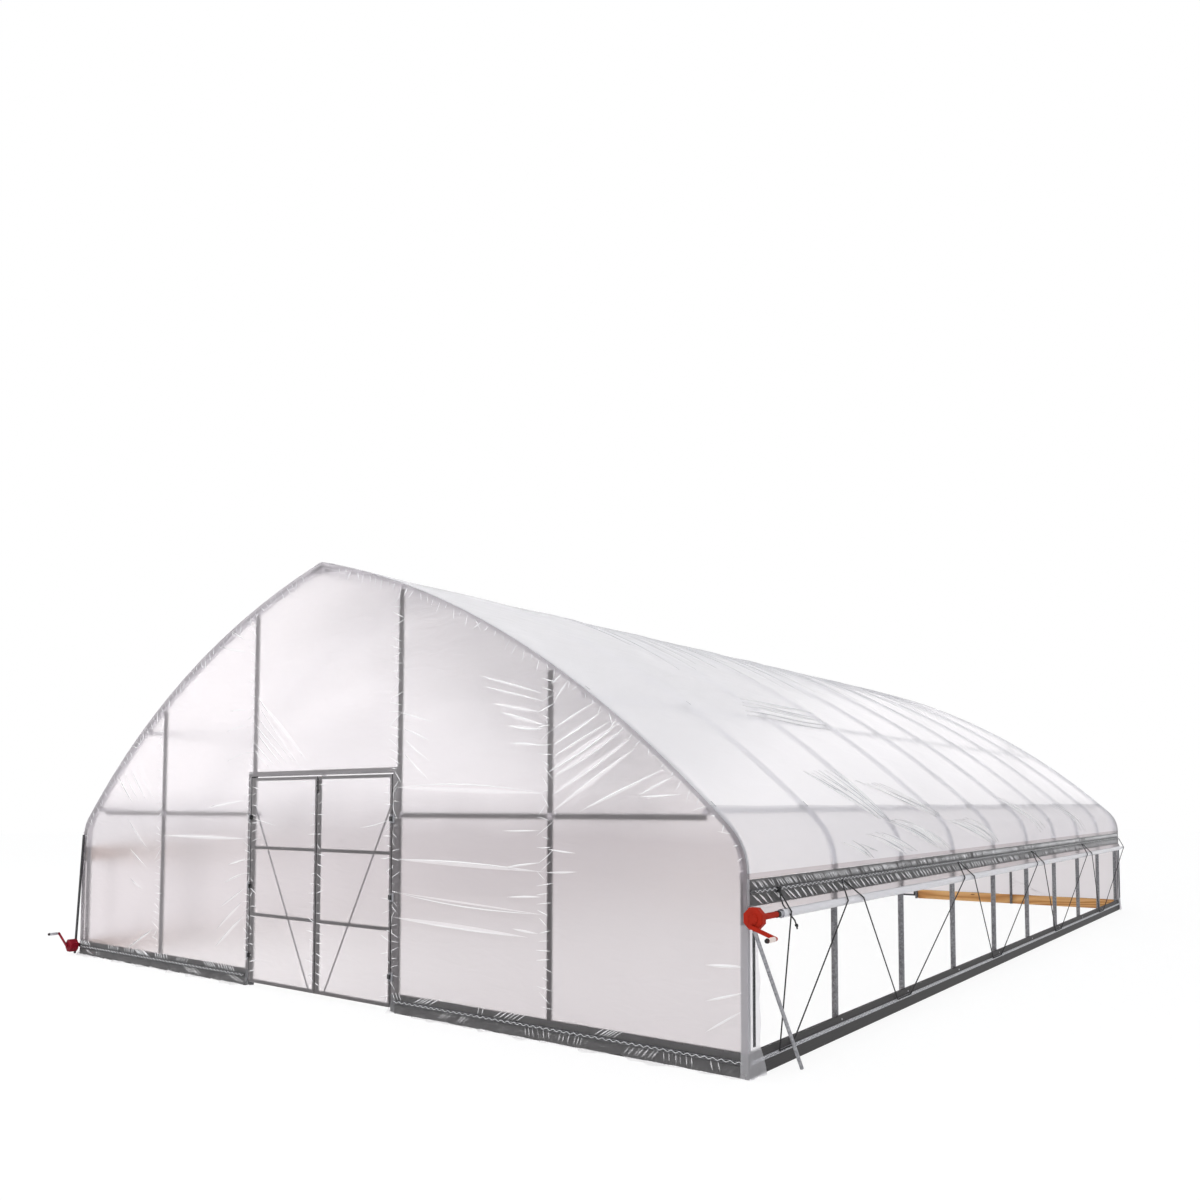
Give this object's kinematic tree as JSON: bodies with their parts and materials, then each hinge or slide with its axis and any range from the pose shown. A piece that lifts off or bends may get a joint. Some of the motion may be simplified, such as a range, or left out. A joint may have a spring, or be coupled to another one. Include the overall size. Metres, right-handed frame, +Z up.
{
  "type": "polytunnel greenhouse",
  "caption": "Gothic-arch polytunnel of tube bows under stretched clear film, with double doors in each gable, timber base and hip boards, and hand-cranked roll-up sides.",
  "frame": {"origin": "centre of the plan box on the ground, with the cranks in front of the front gable counted in", "axes": "+Y along the tunnel from the front gable to the back, +X to the rolled-up side, +Z up"},
  "size_m": [9.645, 12.4612, 4.0244],
  "materials": {
    "galvanised_steel": "dull galvanised",
    "board": "dark stained outside, raw pine inside",
    "channel": "mill finish",
    "film": "translucent film",
    "rolled_film": "wound translucent film",
    "gearbox_crimson": "weathered paint",
    "gearbox_orange": "gloss paint",
    "crank": "zinc with a plastic grip",
    "rope": "braided"
  },
  "bodies": {
    "root": {"left_posts": "galvanised_steel", "right_posts": "galvanised_steel", "left_bows": "galvanised_steel", "right_bows": "galvanised_steel", "purlins": "galvanised_steel", "hip_boards": "board", "side_base_boards": "board", "front_base_boards": "board", "back_base_boards": "board", "front_gable_frame": "galvanised_steel", "back_gable_frame": "galvanised_steel", "front_film_strips": "channel", "back_film_strips": "channel", "left_roof_film": "film", "right_roof_film": "film", "left_shoulder_film": "film", "right_shoulder_film": "film", "left_curtain": "film", "right_curtain": "film", "front_film_left": "film", "front_film_right": "film", "front_film_over_door": "film", "back_film_left": "film", "back_film_right": "film", "back_film_over_door": "film", "lock_channels": "channel", "roll_bars": "galvanised_steel", "left_film_roll": "rolled_film", "right_film_roll": "rolled_film", "left_gearbox": "gearbox_crimson", "right_gearbox": "gearbox_orange", "guide_poles": "galvanised_steel", "ropes": "rope", "front_hinges": "galvanised_steel", "back_hinges": "galvanised_steel"},
    "front_left_door": {"front_left_leaf": "galvanised_steel", "front_left_leaf_film": "film"},
    "front_right_door": {"front_right_leaf": "galvanised_steel", "front_right_leaf_film": "film"},
    "back_left_door": {"back_left_leaf": "galvanised_steel", "back_left_leaf_film": "film"},
    "back_right_door": {"back_right_leaf": "galvanised_steel", "back_right_leaf_film": "film"},
    "left_crank": {"left_crank": "crank"},
    "right_crank": {"right_crank": "crank"}
  },
  "joints": [
    {"name": "front_left_door_swing", "type": "hinge", "parent": "root", "child": "front_left_door", "pos_m": [-1.06, -5.9906, 1], "axis": [0, 0, -1], "range_deg": [0, 115]},
    {"name": "front_right_door_swing", "type": "hinge", "parent": "root", "child": "front_right_door", "pos_m": [1.06, -5.9906, 1], "axis": [0, 0, 1], "range_deg": [0, 115]},
    {"name": "back_left_door_swing", "type": "hinge", "parent": "root", "child": "back_left_door", "pos_m": [-1.06, 6.2226, 1], "axis": [0, 0, 1], "range_deg": [0, 115]},
    {"name": "back_right_door_swing", "type": "hinge", "parent": "root", "child": "back_right_door", "pos_m": [1.06, 6.2226, 1], "axis": [0, 0, -1], "range_deg": [0, 115]},
    {"name": "right_crank_turn", "type": "hinge", "parent": "root", "child": "right_crank", "pos_m": [4.6419, -6.0396, 0.982], "axis": [0, -1, 0], "continuous": true},
    {"name": "left_crank_turn", "type": "hinge", "parent": "root", "child": "left_crank", "pos_m": [-4.5989, -6.0986, 0.11], "axis": [0, -1, 0], "range_deg": [-166, 52]}
  ]
}
